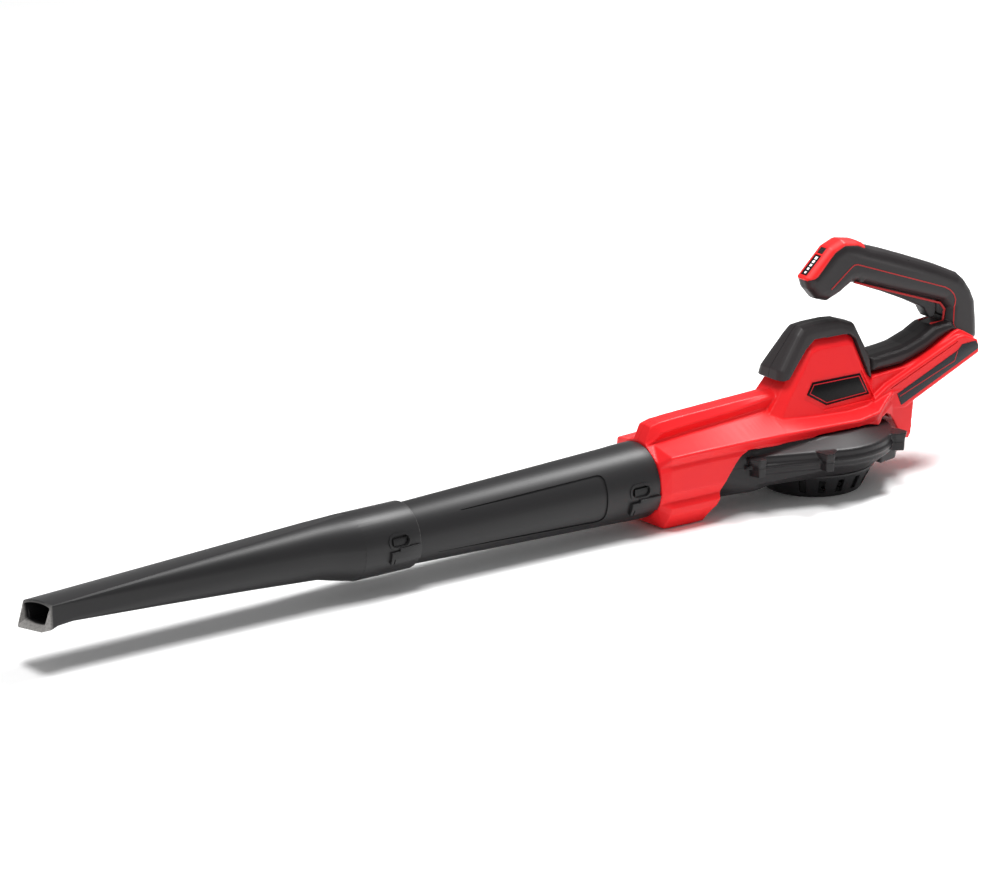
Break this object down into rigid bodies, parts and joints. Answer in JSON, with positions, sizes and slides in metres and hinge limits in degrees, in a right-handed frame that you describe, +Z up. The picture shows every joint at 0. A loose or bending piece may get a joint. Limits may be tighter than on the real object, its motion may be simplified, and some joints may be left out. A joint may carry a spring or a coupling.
{
  "type": "leaf blower",
  "caption": "Cordless leaf blower: radial fan under a hooped pistol handle, twist-on tube and flat tapering nozzle, slide-in battery foot.",
  "frame": {"origin": "middle of the intake guard's flat underside, where the fan's axis meets the surface that the tool rests on", "axes": "+Z up along the fan's axis, -X along the air tube towards the nozzle's mouth, +X towards the battery foot, the casing halves meet at y = 0"},
  "size_m": [1.1517, 0.164, 0.2555],
  "materials": {
    "red_shell": "moulded ABS, fine satin grain",
    "red_trim": "moulded line in the grip",
    "soft_grip": "soft-touch overmould",
    "gloss_black": "gloss printed film",
    "patterned_trim": "film with a fine woven pattern",
    "led_lens": "white diffusing lens",
    "circuit_board": "lacquered board",
    "button_rubber": "moulded key",
    "black_casing": "glass-filled nylon, fine spark grain",
    "tube_plastic": "blow-moulded and moulded polypropylene, satin",
    "seal_rubber": "ring seal",
    "zinc_steel": "zinc plated",
    "bare_steel": "ground or laminated steel",
    "copper_wire": "enamelled copper",
    "brass_contact": "stamped blade",
    "wire_cover": "insulated lead"
  },
  "bodies": {
    "root": {"badge_left": "gloss_black", "badge_right": "gloss_black", "battery_contacts": "brass_contact", "battery_leads": "wire_cover", "battery_terminals": "black_casing", "bearing_lower": "bare_steel", "bearing_upper": "bare_steel", "charge_leds": "led_lens", "control_bezel": "red_shell", "controller_board": "circuit_board", "display_board": "circuit_board", "display_window": "gloss_black", "grip_seam_left": "red_trim", "grip_seam_right": "red_trim", "handle_left": "soft_grip", "handle_right": "soft_grip", "handle_screws": "zinc_steel", "hood_cap": "soft_grip", "housing_left": "red_shell", "housing_right": "red_shell", "housing_screws": "zinc_steel", "intake_guard": "black_casing", "motor_can": "zinc_steel", "motor_mount": "zinc_steel", "outlet_spigot": "black_casing", "scroll_lower": "black_casing", "scroll_screws": "zinc_steel", "scroll_upper": "black_casing", "side_trim_left": "patterned_trim", "side_trim_right": "patterned_trim", "spigot_seal": "seal_rubber", "stator_core": "bare_steel", "stator_windings": "copper_wire", "trigger_pin": "bare_steel", "trigger_spring": "bare_steel", "trigger_switch": "black_casing"},
    "rotor": {"motor_shaft": "bare_steel", "rotor_magnets": "bare_steel", "impeller": "black_casing", "impeller_nut": "zinc_steel"},
    "trigger_lever": {"trigger": "black_casing"},
    "plunger": {"switch_plunger": "black_casing"},
    "button": {"power_button": "button_rubber"},
    "tube": {"blower_tube": "tube_plastic"},
    "nozzle": {"nozzle": "tube_plastic"}
  },
  "joints": [
    {"name": "fan_spin", "type": "hinge", "parent": "root", "child": "rotor", "pos_m": [0, 0, 0.05], "axis": [0, 0, 1], "continuous": true},
    {"name": "trigger_pull", "type": "hinge", "parent": "root", "child": "trigger_lever", "pos_m": [0.05, 0, 0.2125], "axis": [0, -1, 0], "range_deg": [0, 5], "stiffness_Nm_per_rad": 6, "springref_deg": -3.44, "deforming": ["trigger_spring"]},
    {"name": "plunger_slide", "type": "slide", "parent": "root", "child": "plunger", "axis": [0, 0, 1], "range_m": [0, 0.003]},
    {"name": "power_press", "type": "slide", "parent": "root", "child": "button", "axis": [0.6721, 0, -0.7405], "range_m": [0, 0.0012], "stiffness_N_per_m": 800, "springref_m": -0.0006},
    {"name": "tube_twist", "type": "hinge", "parent": "root", "child": "tube", "pos_m": [-0.229, 0, 0.048], "axis": [-1, 0, 0], "range_deg": [0, 25]},
    {"name": "nozzle_twist", "type": "hinge", "parent": "tube", "child": "nozzle", "pos_m": [-0.518, 0, 0.048], "axis": [-1, 0, 0], "range_deg": [0, 25]}
  ],
  "couplings": [
    {"joint": "plunger_slide", "follows": "trigger_pull", "m_per_rad": 0.034377}
  ]
}
